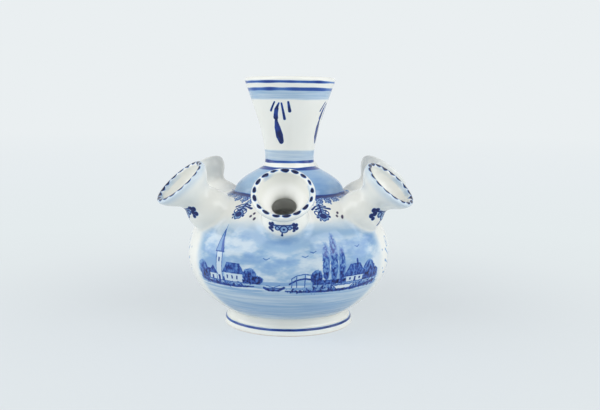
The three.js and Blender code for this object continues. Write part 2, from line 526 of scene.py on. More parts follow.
# %% Where a spout meets the belly
def belly_level(point):
    """Below zero inside the bowl's outer skin, above zero outside it."""
    flat = (point.x**2 + point.y**2) / BELLY_RADIUS**2
    return flat + ((point.z - BELLY_HEIGHT) / UPPER_HALF) ** 2 - 1


def belly_normal(point):
    """The bowl's outward direction near a point."""
    return Vector(
        (
            point.x / BELLY_RADIUS**2,
            point.y / BELLY_RADIUS**2,
            (point.z - BELLY_HEIGHT) / UPPER_HALF**2,
        )
    ).normalized()


PROBE = 0.01


def onto_belly(point, lift=0.0):
    """The nearest point of the bowl's skin, raised by lift."""
    for _ in range(4):
        normal = belly_normal(point)
        ahead = belly_level(point + normal * PROBE) - belly_level(point)
        point = point - normal * (belly_level(point) / ahead * PROBE)
    return point + belly_normal(point) * lift


def on_spout(place, turn, radius, depth):
    """A point of a spout, in the vase's axes and mm."""
    return place @ Vector((radius * math.cos(turn), radius * math.sin(turn), -depth))


def on_skin(place, turn, depth):
    """A point of a spout's outer skin."""
    return on_spout(place, turn, side_radius(depth), depth)


def meet_belly(place, turn, radius_at):
    """The depth at which a meridian of a spout reaches the bowl."""
    near, far = ROOT_START_DEPTH, ROOT_SEARCH_DEPTH
    for _ in range(30):
        depth = (near + far) / 2
        if belly_level(on_spout(place, turn, radius_at(depth), depth)) > 0:
            near = depth
        else:
            far = depth
    return (near + far) / 2


for turn in (-90, 0, 90):
    meets = meet_belly(spout_place("spout_front"), math.radians(turn), side_radius)
    print("meridian at", turn, "meets the belly at depth", round(meets, 1))

# %% Rings of the root
SWELL_RINGS = 8
FILLET_RINGS = 10
# After the fillet, the root runs on over the bowl and dips under its skin.
TAIL = [(1.0, -0.03), (2.4, -0.3), (1.2, -1.1)]
FILLET_PULL = 0.62
BORE_DIP = -1.5
ROOT_RINGS = SWELL_RINGS + FILLET_RINGS + len(TAIL) + 1


def root_meridian(place, turn):
    """The points of one meridian's root, from the bulb to the bore, in mm."""
    meets = meet_belly(place, turn, side_radius)
    corner = on_skin(place, turn, meets)
    start_depth = max(meets - ROOT_RISE, ROOT_START_DEPTH + 1.0)
    centre = place @ Vector((0, 0, -meets))
    normal = belly_normal(corner)
    out = corner - centre
    out = (out - normal * out.dot(normal)).normalized()
    end = onto_belly(corner + out * ROOT_RUN)
    end_tangent = (end - onto_belly(end - out * 0.5)).normalized()
    drop = start_depth - ROOT_START_DEPTH
    swell = [
        on_skin(place, turn, ROOT_START_DEPTH + drop * ring / SWELL_RINGS)
        for ring in range(1, SWELL_RINGS + 1)
    ]
    start = on_skin(place, turn, start_depth)
    fillet = interpolate_bezier(
        start,
        start.lerp(corner, FILLET_PULL),
        end - end_tangent * ROOT_RUN * FILLET_PULL,
        end,
        FILLET_RINGS + 1,
    )[1:]
    tail = [onto_belly(end + out * run, lift) for run, lift in TAIL]
    bore_depth = meet_belly(place, turn, lambda depth: SPOUT_BORE)
    bore = onto_belly(on_spout(place, turn, SPOUT_BORE, bore_depth), BORE_DIP)
    return swell + list(fillet) + tail + [bore]


print("root rings:", ROOT_RINGS)

# %% Outline of a whole spout
MARKER_DEPTH = 1000.0
MARKER_RADIUS = 20.0
BORE_TOP_DEPTH = 34.0

skin = [point for point in SPOUT_SKIN if -point[1] < ROOT_START_DEPTH]
skin += [(side_radius(ROOT_START_DEPTH), -ROOT_START_DEPTH)]
markers = [(MARKER_RADIUS, -MARKER_DEPTH - number) for number in range(ROOT_RINGS)]
bore_side = spout_side(SPOUT_WALL, 20)[1:]
bore_side = [point for point in bore_side if -point[1] < BORE_TOP_DEPTH]
lip = arc((SPOUT_MOUTH_RADIUS - SPOUT_LIP, -SPOUT_LIP), (SPOUT_LIP,) * 2, 0, 180, 14)
spout_outline = list(reversed(skin)) + lip + bore_side + list(reversed(markers))
print("a spout's outline has", len(spout_outline), "points")

# %% Build the six spouts
OWN_AXES = "spout_axes"
INNER_SKIN = "spout_inside"


def build_spout(name):
    """Spins one spout, sets it on the pot and moves its root to the belly."""
    work = spin_outline(spout_outline, 96, closed=True)
    place = spout_place(name)
    roots = {}
    for corner in work.verts:
        x, y, z = corner.co / MM
        ring = round(-z - MARKER_DEPTH)
        if ring < 0:
            corner.co = (place @ Vector((x, y, z))) * MM
            continue
        turn = math.atan2(y, x)
        key = round(turn, 4)
        if key not in roots:
            roots[key] = root_meridian(place, turn)
        corner.co = roots[key][ring] * MM
    bmesh.ops.recalc_face_normals(work, faces=work.faces[:])
    piece = finish_piece("glazed_" + name, work, name)
    back = place.inverted()
    places = [back @ (corner.co / MM) for corner in piece.data.vertices]
    normals = [back.to_3x3() @ corner.normal for corner in piece.data.vertices]
    inward = [
        float(normal.x * own.x + normal.y * own.y < 0)
        for own, normal in zip(places, normals)
    ]
    piece.data.attributes.new(OWN_AXES, "FLOAT_VECTOR", "POINT")
    piece.data.attributes.new(INNER_SKIN, "FLOAT", "POINT")
    for own, value in zip(piece.data.attributes[OWN_AXES].data, places):
        own.vector = value
    piece.data.attributes[INNER_SKIN].data.foreach_set("value", inward)
    print(name, "has", int(sum(inward)), "corners on its inner skin")
    return piece


spouts = [build_spout(name) for name in SPOUTS]

# %% [markdown]
# ## Writing shader sums as Python
#
# The painting is worked out by the material itself, so it stays sharp at any
# distance and needs no picture. A `Field` is one output of a node. Adding or
# scaling it adds a Math node, so a formula reads as it would on paper. Every
# other node comes from `Recipe.node`.

# %% Fields
def operator(operation, swapped=False):
    """A method that adds a Math node, with its field last where swapped."""
    def method(field, *others):
        values = (*others, field) if swapped else (field, *others)
        return field.recipe.node("Math", {"operation": operation}, values)

    return method


class Field:
    """A value that varies over the glaze: one output socket of a node."""

    def __init__(self, recipe, socket):
        self.recipe = recipe
        self.socket = socket

    def math(self, operation, *others):
        """A Math node on this value, and on others where it takes more."""
        return operator(operation)(self, *others)

    def __neg__(self):
        return self * -1.0

    __add__, __radd__ = operator("ADD"), operator("ADD", swapped=True)
    __sub__, __rsub__ = operator("SUBTRACT"), operator("SUBTRACT", swapped=True)
    __mul__, __rmul__ = operator("MULTIPLY"), operator("MULTIPLY", swapped=True)
    __truediv__, __rtruediv__ = operator("DIVIDE"), operator("DIVIDE", swapped=True)
    __mod__ = operator("FLOORED_MODULO")
    __abs__ = operator("ABSOLUTE")
    at_least = operator("MAXIMUM")
    at_most = operator("MINIMUM")


print("fields can add, subtract, multiply, divide and take remainders")

# %% Recipes
class Recipe:
    """The nodes of a material or a world, and the way to add to them."""

    def __init__(self, owner):
        owner.use_nodes = True
        self.owner = owner
        self.tree = owner.node_tree
        self.tree.nodes.clear()

    def node(self, kind, settings, values, output=0):
        """Adds a node, with its settings first and then its sockets."""
        made = self.tree.nodes.new("ShaderNode" + kind)
        for name, value in settings.items():
            if name == "stops":
                set_stops(made.color_ramp, value)
            else:
                setattr(made, name, value)
        pairs = values.items() if isinstance(values, dict) else enumerate(values)
        for key, value in pairs:
            if isinstance(value, Field):
                self.tree.links.new(value.socket, made.inputs[key])
            else:
                made.inputs[key].default_value = value
        return Field(self, made.outputs[output]) if made.outputs else None

    def mix(self, share, under, upper, blend="MIX"):
        """Mixes one colour over another."""
        settings = {"data_type": "RGBA", "blend_type": blend}
        return self.node("Mix", settings, {0: share, 6: under, 7: upper}, output=2)

    def scaled(self, point, scale):
        """A point with each of its parts scaled."""
        return self.node("Mapping", {}, {"Vector": point, "Scale": scale})

    def parts(self, point):
        """The x, y and z of a point, each as a field."""
        first = self.node("SeparateXYZ", {}, [point])
        return [Field(self, socket) for socket in first.socket.node.outputs]


def set_stops(ramp, stops):
    """Gives a ramp its stops, as (place, colour) pairs."""
    while len(ramp.elements) < len(stops):
        ramp.elements.new(1.0)
    for element, (place, colour) in zip(ramp.elements, stops):
        element.position = place
        element.color = colour


print("a recipe adds nodes, mixes colours, and scales or splits points")

# %% [markdown]
# ## Drawing on the glaze
#
# The painter works on a curved pot, but a drawing is easier to plan on flat
# paper. A `Canvas` is that paper, laid over the glaze: u runs to the right and
# v runs up, both in millimetres. A shape is a distance field, which is below
# zero inside the shape, so shapes are joined with a minimum and turned to ink
# by one soft edge.

# %% The canvas and its shapes
class Canvas:
    """Flat paper over the glaze, with a distance field for each shape."""

    def __init__(self, u, v):
        self.recipe = u.recipe
        self.u = u
        self.v = v
        self.point = self.recipe.node("CombineXYZ", {}, [u, v, 0.0])

    def vector(self, operation, *values, output=0):
        """A Vector Math node on this canvas."""
        return self.recipe.node("VectorMath", {"operation": operation}, values, output)

    def stroke(self, start, end, width, end_width=None):
        """A straight brush stroke, which may grow thicker or thinner."""
        run = Vector(end) - Vector(start)
        along = (*(run / run.length_squared), 0.0)
        offset = self.vector("SUBTRACT", self.point, (*start, 0.0))
        share = self.vector("DOT_PRODUCT", offset, along, output=1)
        share = self.recipe.node("Clamp", {}, [share])
        foot = self.recipe.node(
            "VectorMath", {"operation": "SCALE"}, {0: (*run, 0.0), "Scale": share}
        )
        distance = self.vector("DISTANCE", offset, foot, output=1)
        if end_width is None:
            return distance - width / 2
        swell = (end_width - width) / 2
        return distance - share.math("MULTIPLY_ADD", swell, width / 2)

    def strokes(self, points, width, end_width=None):
        """A bent stroke through several points."""
        pieces = len(points) - 1
        last = width if end_width is None else end_width
        widths = [width + (last - width) * n / pieces for n in range(pieces + 1)]
        return joined(
            self.stroke(points[n], points[n + 1], widths[n], widths[n + 1])
            for n in range(pieces)
        )

    def spot(self, centre, half_width, half_height=None, rough=None):
        """A round or oval spot. rough is a field that makes its edge uneven."""
        tall = half_height or half_width
        reach = self.vector(
            "MULTIPLY_ADD",
            self.point,
            (1 / half_width, 1 / tall, 0.0),
            (-centre[0] / half_width, -centre[1] / tall, 0.0),
        )
        size = min(half_width, tall)
        distance = self.vector("LENGTH", reach, output=1)
        distance = distance.math("MULTIPLY_ADD", size, -size)
        return distance if rough is None else distance + rough

    def ring(self, centre, radius, width, tall=None):
        """The outline of a round or oval spot."""
        return abs(self.spot(centre, radius, tall)) - width / 2

    def block(self, left, right, low, high):
        """An upright rectangle."""
        across = abs(self.u - (left + right) / 2) - (right - left) / 2
        return across.at_least(abs(self.v - (low + high) / 2) - (high - low) / 2)

    def gable(self, left, right, low, top, ridge=0.0):
        """A roof: a triangle, or with a ridge a trapezium, over its eaves."""
        slope = (top - low) / ((right - left) / 2 - ridge)
        across = (abs(self.u - (left + right) / 2) - (right - left) / 2) * slope
        side = (across + (self.v - low)) / math.hypot(1, slope)
        side = side.at_least(low - self.v)
        return side if ridge == 0 else side.at_least(self.v - top)

    def drawn(self, *designs):
        """The union of designs. A design gives the sizes of shapes by their kind."""
        return joined(
            getattr(self, kind)(*sizes)
            for design in designs
            for kind, marks in design.items()
            for sizes in marks
        )

    def paint(self, ink, design, edge, strength):
        """Lays a design over the ink, with a soft edge in mm and a strength."""
        return over(ink, inked(self.drawn(design), edge), strength)


def joined(shapes):
    """The union of several shapes, each added as soon as it is drawn."""
    whole = None
    for shape in shapes:
        whole = shape if whole is None else whole.at_most(shape)
    return whole


print("shapes on a canvas: stroke, strokes, spot, ring, block, gable")

# %% Soft edges, noises and washes
def ramped(field, low, high, start=0.0, end=1.0):
    """A smooth change from start to end as a field goes from low to high."""
    return field.recipe.node(
        "MapRange", {"interpolation_type": "SMOOTHSTEP"}, [field, low, high, start, end]
    )


def inked(shape, edge):
    """1 inside a shape and 0 outside it, over a soft edge in mm."""
    return ramped(shape, edge, -edge)


def noise(where, scale, detail=2.0, roughness=0.5):
    """Blender's noise, about 0.5 on average."""
    sizes = {"Vector": where, "Scale": scale, "Detail": detail, "Roughness": roughness}
    return where.recipe.node("TexNoise", {}, sizes)


def loaded(field, thin, thick):
    """A noise as the strength of a wash, between its thin and thick places."""
    return ramped(field, 0.3, 0.7, thin, thick)


def unsteady(where, scale, size):
    """A noise about zero, for lines that sway by up to half of size."""
    return (noise(where, scale) - 0.5) * size


def over(under, mask, ink):
    """Lays a wash of a given strength over what is there."""
    return under + mask * (ink - under)


print("a wash of 0.6 at half a mask over 0.2 gives", over(0.2, 0.5, 0.6))

# %% [markdown]
# ## Where a point of the vase is
#
# Every painting starts from where a point is: its azimuth, counted from the
# front spout to the right, its distance from the axis and its height. They
# come from Object coordinates, because every piece shares the vase's axes.

# %% Azimuth, radius and height
class Place:
    """A point of the vase, for a new material: in mm, with azimuth and radius."""

    def __init__(self, name):
        self.recipe = Recipe(bpy.data.materials.new(name))
        coordinates = self.recipe.node("TexCoord", {}, [], output=3)
        self.point = self.recipe.scaled(coordinates, (1 / MM,) * 3)
        self.x, self.y, self.z = self.recipe.parts(self.point)
        self.azimuth = self.x.math("ARCTAN2", -self.y)
        self.radius = (self.x * self.x + self.y * self.y).math("SQRT")


def folded(turn, step):
    """An angle folded into one step of a pattern, with zero in its middle."""
    return turn % step - step / 2


print("70 degrees folded into 60 give", folded(70, 60))

# %% [markdown]
# ## Cobalt under the glaze
#
# Cobalt is one pigment: thin, it is a pale sky blue, and thick, it is almost
# violet. So each painting is worked out as one number, the strength of the
# ink, and a single ramp turns it to colour. The glaze over it is the same on
# all pieces: shiny, a little uneven, with a faint warm or grey cast where it
# ran thin or pooled.

# %% Colours of the glaze
def srgb(red, green, blue):
    """A colour given from 0 to 255, as Blender's linear colour."""
    def linear(level):
        level /= 255
        return level / 12.92 if level <= 0.04045 else ((level + 0.055) / 1.055) ** 2.4

    return (linear(red), linear(green), linear(blue), 1.0)


WHITE_GLAZE = srgb(237, 238, 232)
# The insides' white is whiter than the outer glaze: painted light that lifts the shade
# inside the pot and in the throats.
INSIDE_GLAZE_WITH_PAINTED_LIGHT = srgb(250, 251, 248)
COBALT = [
    (0.00, WHITE_GLAZE),
    (0.12, srgb(203, 217, 227)),
    (0.30, srgb(153, 184, 212)),
    (0.50, srgb(106, 148, 199)),
    (0.68, srgb(55, 98, 174)),
    (0.84, srgb(22, 52, 134)),
    (1.00, srgb(4, 14, 60)),
]
WARM_CAST = srgb(251, 250, 247)
BARE_CLAY = (srgb(222, 205, 190), srgb(240, 226, 212))
CLAY_ROUGHNESS = 0.75
GLAZE_ROUGHNESS = (0.07, 0.14)
GLAZE_IOR = 1.42
print("cobalt goes from", COBALT[1][1][:3], "to", COBALT[-1][1][:3])

# %% From ink to glaze
def glaze(place, ink, bare=None, tints=()):
    """Finishes a material: ink under a shiny, slightly uneven white glaze.

    tints are pairs of a mask and a colour that is laid over the cobalt.
    """
    recipe = place.recipe
    mottle = noise(place.point, 0.035, 3.0)
    colour = recipe.node("ValToRGB", {"stops": COBALT}, [ink])
    for mask, tint in tints:
        colour = recipe.mix(mask, colour, tint)
    cast = ramped(mottle, 0.35, 0.7, 0.0, 0.5)
    colour = recipe.mix(cast, colour, WARM_CAST, "MULTIPLY")
    speck = noise(place.point, 0.9)
    shine = ramped(speck, 0.3, 0.75, *GLAZE_ROUGHNESS)
    if bare is not None:
        colour = recipe.mix(bare, colour, recipe.mix(speck, *BARE_CLAY))
        shine = over(shine, bare, CLAY_ROUGHNESS)
    waves = noise(place.point, 0.05, 1.0)
    relief = recipe.node(
        "Bump", {}, {"Strength": 0.6, "Distance": 0.0006, "Height": waves}
    )
    shader = recipe.node(
        "BsdfPrincipled",
        {},
        {"Base Color": colour, "Roughness": shine, "Normal": relief, "IOR": GLAZE_IOR},
    )
    recipe.node("OutputMaterial", {}, {"Surface": shader})
    print(recipe.owner.name, "has", len(recipe.tree.nodes), "nodes")
    return recipe.owner


print("the glaze's roughness goes from", *GLAZE_ROUGHNESS)

# %% [markdown]
# ## Foot paint
#
# One thin line runs round the foot's shoulder, and the tread is bare clay.

# %% Foot material
FOOT_LINE_HEIGHT = 4.75
FOOT_LINE_WIDTH = 1.6
foot_place = Place("foot_paint")
wobble = noise(foot_place.point, 0.06)
foot_line = abs(foot_place.z - (wobble - 0.5) * 0.5 - FOOT_LINE_HEIGHT)
foot_ink = inked(foot_line - FOOT_LINE_WIDTH / 2, 0.3) * loaded(wobble, 0.76, 0.92)
tread = ramped(foot_place.z, 0.9, 0.3)
foot.data.materials.append(glaze(foot_place, foot_ink, tread))

# %% [markdown]
# ## Neck paint
#
# Two lines and a pale band run under the mouth, and a pale band and two lines
# run at the waist. Between them the painter set four groups of brush marks:
# a long drop with a short stroke or two on each side.

# %% Bands and brush marks of the neck
NECK_GROUP_TURN = math.radians(90)
NECK_GROUP_START = math.radians(17)
NECK_GROUP_RADIUS = 26.0
# A band is its two heights and its soft edge. A line is its height and width.
MOUTH_BAND = (182.4, 190.4, 0.7)
WAIST_BAND = (133.6, 142.2, 0.9)
NECK_LINES = ((195.9, 1.9), (190.3, 2.6), (133.1, 1.9), (127.9, 1.4))


def band(place, low, high, edge, sway):
    """A painted ring between two heights, whose edges may sway."""
    middle = abs(place.z + sway - (low + high) / 2)
    return inked(middle - (high - low) / 2, edge)


def brushed(place, low, high, run=0.03, across=0.8):
    """Streaks that run round the pot, as a brush leaves them on a wheel."""
    flat = place.recipe.scaled(place.point, (run, run, across))
    return loaded(noise(flat, 1.0, 3.0, 0.6), low, high)


BRUSH_MARKS = {
    "stroke": [
        ((-1.4, 180.4), (-5.2, 173.6), 1.1, 1.6), ((3.4, 179.4), (5, 167.4), 1.2, 2.2),
        ((8, 180.4), (9, 173.4), 1.4, 2.4), ((-2, 165), (-1.6, 160.4), 3, 5.4),
        ((-1.6, 160.4), (-0.4, 154), 5.4, 7), ((-0.4, 154), (0.9, 150), 7, 5.2),
    ],
    "strokes": [
        ([(1.7, 179.6), (-1, 174.5), (-2, 168.4)], 1, 4),
        ([(0.2, 175.5), (-1.7, 168.2), (-2, 164)], 1.8, 2.8),
    ],
}
print("strokes in a group:", sum(map(len, BRUSH_MARKS.values())))

# %% Neck material
neck_place = Place("neck_paint")
neck_sway = unsteady(neck_place.point, 0.04, 1.6)
neck_streaks = brushed(neck_place, -0.05, 0.06)
neck_ink = band(neck_place, *MOUTH_BAND, neck_sway) * (neck_streaks + 0.24)
low_wash = band(neck_place, *WAIST_BAND, neck_sway) * (neck_streaks + 0.2)
neck_ink = neck_ink.at_least(low_wash)
line_flow = noise(neck_place.point, 0.045, 1.0)
line_load = loaded(line_flow, 0.62, 0.86)
line_swell = (line_flow - 0.5) * 1.5
neck_lines = joined(
    abs(neck_place.z + neck_sway * 0.4 - height) - line_swell - width / 2
    for height, width in NECK_LINES
)
neck_ink = over(neck_ink, inked(neck_lines, 0.3), line_load)
neck_turn = neck_place.azimuth + (NECK_GROUP_START + NECK_GROUP_TURN / 2)
neck_turn = folded(neck_turn, NECK_GROUP_TURN)
neck_canvas = Canvas(neck_turn * NECK_GROUP_RADIUS, neck_place.z)
mark_load = loaded(noise(neck_place.point, 0.2, 1.0), 0.82, 0.96)
neck_ink = neck_canvas.paint(neck_ink, BRUSH_MARKS, 0.25, mark_load)
neck.data.materials.append(glaze(neck_place, neck_ink))

# %% White glaze for the insides, whiter than outside: painted light that lifts the dark insides
inner_material = glaze(Place("inside_glaze_painted_lighter"), 0.0, tints=[(1.0, INSIDE_GLAZE_WITH_PAINTED_LIGHT)])


def give_inside_glaze(piece, faces_in):
    """Gives the faces that look inwards the inside glaze: white, made whiter as painted
    light.
    """
    piece.data.materials.append(inner_material)
    count = 0
    for face in piece.data.polygons:
        if faces_in(face):
            face.material_index = 1
            count += 1
    print(piece.name, "has", count, "inner faces")


def looks_at_axis(face):
    """Whether a face of a turned wall looks towards the vase's axis."""
    return face.normal.x * face.center.x + face.normal.y * face.center.y < 0


def inside_bowl(face):
    """Whether a face is on the bowl's inner skin or on the wall of a hole."""
    middle = Vector((0, 0, BELLY_HEIGHT * MM))
    if face.normal.dot(face.center - middle) < 0:
        return True
    return face.center.z > middle.z and belly_level(face.center / MM) < -0.02


give_inside_glaze(neck, looks_at_axis)

# %% [markdown]
# ## Dome paint
#
# The dome has a blue wash laid on with a wide brush as the pot turned, so the
# streaks run round it. The wash is heavier on the right side: partly the
# painter's wash, partly painted shade. A dark line closes its foot and its top.

# %% Dome material
DOME_TOP_LINE = 126.6
SHOULDER_LINE = 108.1
SHOULDER_LINE_WIDTH = 1.9
dome_place = Place("dome_paint")
dome_ink = loaded(noise(dome_place.point, 0.035), -0.05, 0.07)
dome_ink = dome_ink + brushed(dome_place, 0.0, 0.06, run=0.05, across=0.3)
# The wash grows heavier towards the right: partly the painter's wash, partly painted
# shade on the side away from the stronger light.
dome_ink = dome_ink + ramped(dome_place.x, -35.0, 35.0, 0.25, 0.37)
dome_sway = unsteady(dome_place.point, 0.05, 1.2)


def shoulder_line(place, sway):
    """The dark line in the joint of the dome and the bowl."""
    return abs(place.z + sway - SHOULDER_LINE) - SHOULDER_LINE_WIDTH / 2


dome_ink = over(dome_ink, inked(shoulder_line(dome_place, dome_sway), 0.6), 0.9)
dome_ink = over(dome_ink, inked(DOME_TOP_LINE - dome_place.z, 0.4), 0.82)
dome.data.materials.append(glaze(dome_place, dome_ink))
give_inside_glaze(dome, looks_at_axis)

# %% [markdown]
# ## The bowl's painting
#
# The front carries a waterside scene, and the painter fills it in four layers:
# a pale sky with clouds, the water with its streaks, the land with its trees
# and roofs, and last the thin dark outlines. Below it a band of wash was laid
# on while the pot turned. The scene here is a plain country view of our own: a
# village church, a low bridge, a row of poplars, a farm and a rowing boat.
#
# The canvas is as wide as the belly's own skin, so a distance of one on it is
# about a millimetre on the pot.

# %% Bowl canvas
BELLY_CANVAS_RADIUS = 80.0
SCENE_MIDDLE = math.radians(4.0) * BELLY_CANVAS_RADIUS
SCENE_HALF_WIDTH = 82.0
SCENE_TOP = 90.0
SCENE_CORNER = 16.0
SIDES_CURVE_IN_BELOW = 60.0
SIDES_CURVE = 0.0085
EDGE_WANDER = 16.0
EDGE_SOFTNESS = 7.0
PAINT_FOOT = (12.0, 15.5)
bowl_place = Place("bowl_paint")
bowl_nodes = bowl_place.recipe.tree.nodes


class Scene:
    """The canvas on the belly, and the noises that all its washes share."""

    def __init__(self, place):
        self.place = place
        flat_u = place.azimuth * BELLY_CANVAS_RADIUS
        self.flat = Canvas(flat_u, place.z)
        tremble = noise(self.flat.point, 0.45) - 0.5
        self.canvas = Canvas(flat_u + tremble * 1.1, place.z + tremble * 0.8)
        self.cloud = self.stretched(0.028, 0.06, 4.0)
        self.streak = self.stretched(0.02, 0.55, 3.0)
        self.leaf = self.stretched(0.5, 0.3, 3.0)

    def stretched(self, along, up, detail):
        """Noise with one scale along the pot and another up it."""
        scaled = self.place.recipe.scaled(self.flat.point, (along, up, 1.0))
        return noise(scaled, 1.0, detail, 0.6)


def scene_edge(scene):
    """How far a point lies outside the painted front, in mm."""
    drop = (scene.place.z - SIDES_CURVE_IN_BELOW).at_most(0.0)
    across = abs(scene.flat.u - SCENE_MIDDLE) + drop * drop * SIDES_CURVE
    beside = (across - SCENE_HALF_WIDTH + SCENE_CORNER).at_least(0.0)
    above = (scene.place.z - (SCENE_TOP - SCENE_CORNER)).at_least(0.0)
    reach = (beside * beside + above * above).math("SQRT") - SCENE_CORNER
    return reach + (scene.cloud - 0.5) * EDGE_WANDER


print("the scene is", 2 * SCENE_HALF_WIDTH, "mm wide")

# %% Sky, water and band
UNDER_SPOUT = [
    (-26, 86.5), (-17, 78.5), (-7, 74.5), (5, 73.5), (16, 78), (27, 83.5), (64, 83.5),
]
WATER_TOP = 47.8
BAND_TOP = 38.5
BAND_DARKEST = 25.0


def sky_wash(scene):
    """The strength of the sky: clouds, darker towards the top and the sides."""
    clouds = ramped(scene.cloud, 0.36, 0.62, 0.1, 0.4)
    ink = clouds + ramped(scene.place.z, 56.0, 76.0, 0.0, 0.06)
    fresh = ramped(scene.place.x, -60.0, 10.0, 0.35, 0.8)
    ink = ink * ramped(scene.place.z, 94.0, 78.0, fresh, 1.0)
    return over(ink, inked(scene.canvas.strokes(UNDER_SPOUT, 5.0), 3.2), 0.34)


def add_water(scene, ink):
    """Lays the water, from its far edge down to the turned band."""
    water = ramped(scene.streak, 0.32, 0.68, 0.12, 0.36)
    return over(ink, inked(scene.canvas.v - WATER_TOP, 0.5), water)


def add_band(scene, ink):
    """Lays the band of wash under the scene, streaked as the wheel left it."""
    streaks = loaded(scene.streak, 0.16, 0.29)
    lower = ramped(abs(scene.place.z - BAND_DARKEST), 9.0, 3.0, 0.0, 0.08)
    return over(ink, inked(scene.canvas.v - BAND_TOP, 1.2), streaks + lower)


bowl_scene = Scene(bowl_place)
bowl_ink = add_band(bowl_scene, add_water(bowl_scene, sky_wash(bowl_scene)))
print("washes use", len(bowl_nodes), "nodes")

# %% Land, trees and roofs
WATERLINE = 47.6
# Each tree is its middle, its half width and its half height.
TREES = [
    ((-70, 54), 6.5, 6), ((-62, 51.5), 5, 4), ((-24.5, 53), 5.5, 6),
    ((-18.5, 50.5), 4, 3.2), ((24.5, 53), 4.6, 5.6), ((31.5, 63), 2.9, 14.5),
    ((38, 66), 3.2, 18), ((44.6, 61.5), 2.8, 13), ((71.5, 55), 7, 7),
    ((79, 51.5), 5, 4),
]
SCRUB = {"block": [(-73, -17, 47, 50.4), (22, 84, 47, 50.8)]}
REFLECTIONS = {"block": [(-74, -16, 41.6, 46), (6, 84, 40.6, 46.6)]}
ROOFS = {
    "gable": [
        (-47.5, -29, 54.2, 61.6, 5.5), (-62, -52.4, 51.8, 57.4),
        (46.5, 66.5, 52, 60.6, 4.5),
    ],
}
SPIRE_LIT = {"gable": [(-54.8, -46.8, 69, 85)]}
SPIRE_SHADED = {"strokes": [([(-48.4, 69.6), (-50.6, 83)], 3, 0.5)]}
WALLS = {
    "block": [
        (-46, -30.5, WATERLINE, 54.2), (-53.6, -48, WATERLINE, 69),
        (-61, -53.6, WATERLINE, 51.8), (48.5, 64.5, WATERLINE, 52),
    ],
}
OPENINGS = {
    "block": [
        (-43.8, -42.6, 49.6, 52.4), (-39.6, -38.4, 49.6, 52.4),
        (-35.4, -34.2, 49.6, 52.4), (-51.6, -50.2, 61.5, 64.8),
        (-51.8, -50, WATERLINE, 51.4), (-58.6, -57, WATERLINE, 50.4),
        (51, 52.8, 48.8, 50.6), (55.6, 57.4, WATERLINE, 51), (60.4, 62, 48.8, 50.6),
    ],
}
print("trees:", len(TREES), "openings:", len(OPENINGS["block"]))

# %% Lay the land
def add_masses(scene, ink):
    """Lays the far bank, the trees, the roofs and the walls."""
    paper = scene.canvas
    far_bank = paper.block(-74, 84, 46.6, 49.2) + (scene.cloud - 0.5) * 3.0
    ink = over(ink, inked(far_bank, 0.5), 0.42)
    ripples = ramped(scene.streak, 0.42, 0.56, 0.0, 1.0)
    below = paper.drawn(REFLECTIONS) + (scene.leaf - 0.5) * 2.0
    ink = over(ink, inked(below, 2.2) * ripples, 0.46)
    shade = ramped(scene.leaf, 0.36, 0.64, 0.52, 0.9)
    shade = shade + ramped(scene.canvas.v, 62.0, 49.0, -0.06, 0.12)
    rough = (scene.leaf - 0.5) * 3.4
    trees = joined(paper.spot(*tree, rough) for tree in TREES)
    trees = trees.at_most(paper.drawn(SCRUB) + rough * 0.7)
    ink = over(ink, inked(trees, 0.5), shade)
    thatch = loaded(scene.leaf, 0.54, 0.92)
    for design, edge, strength in (
        (ROOFS, 0.3, thatch),
        (SPIRE_LIT, 0.3, 0.46),
        (SPIRE_SHADED, 0.4, 0.7),
        (WALLS, 0.25, 0.16),
        (OPENINGS, 0.2, 0.86),
    ):
        ink = paper.paint(ink, design, edge, strength)
    return ink


bowl_ink = add_masses(bowl_scene, bowl_ink)
print("with land and roofs:", len(bowl_nodes), "nodes")

# %% Bridge, boat, reeds and outlines
RAIL = [(6.5, 52.4), (10, 54.6), (16, 55.8), (22, 54.6), (25.5, 52.4)]
BRIDGE = {
    "strokes": [
        ([(5, 48.2), (10, 51.2), (16, 52.3), (22, 51.2), (27, 48.2)], 1.3), (RAIL, 0.6),
    ],
    "stroke": [(post, (post[0], 45.6), 0.6) for post in RAIL],
}
BOAT = {
    "strokes": [([(-14, 44.8), (-10.5, 43), (-3, 43), (0.8, 45.2)], 1.9)],
    "stroke": [
        ((-12.6, 44.4), (0.2, 44.7), 0.7), ((-8.6, 44.6), (-2, 47.2), 0.45),
        ((-5, 44.6), (-12, 46.8), 0.45),
    ],
}
BANKS = {
    "strokes": [
        ([(2, 42.4), (20, 41.6), (38, 41.6), (58, 41.8), (80, 44.4)], 1.2, 2.4),
        ([(-73, 46), (-56, 44.4), (-36, 44), (-22, 45.2)], 2.4, 1),
    ],
}
PUNT = {
    "strokes": [([(38, 45.2), (41, 43.6), (52, 43.6), (55.6, 45.4)], 1.8)],
    "stroke": [((41, 44.5), (52, 44.5), 1.4)],
}
PUNT_LINES = {
    "strokes": [([(37, 45.9), (41, 42.5), (52.6, 42.5), (56.6, 46.1)], 0.7)],
    "stroke": [((37, 45.9), (56.6, 46.1), 0.5)],
}
BANK = {"block": [(4, 84, 41.6, 43.4), (22, 84, 43, 46), (-72, -30, 44.4, 47)]}
REED_FEET = [
    (34.5, -0.8, 4.6), (36.5, 0.4, 5.6), (38.5, 1.2, 4.4), (62.5, -0.9, 5),
    (64.5, 0.3, 6.2), (66.5, 1.3, 4.8), (-66.5, -0.6, 5.2), (-64.5, 0.6, 6),
]
REEDS = {
    "stroke": [
        ((foot, 43), (foot + lean, 43 + tall), 0.8, 0.3)
        for foot, lean, tall in REED_FEET
    ]
}
FENCE = {"stroke": [((post, 47.2), (post, 51.2), 0.6) for post in (69, 74, 79)]}
FENCE["stroke"].append(((66, 50), (84, 49), 0.5))
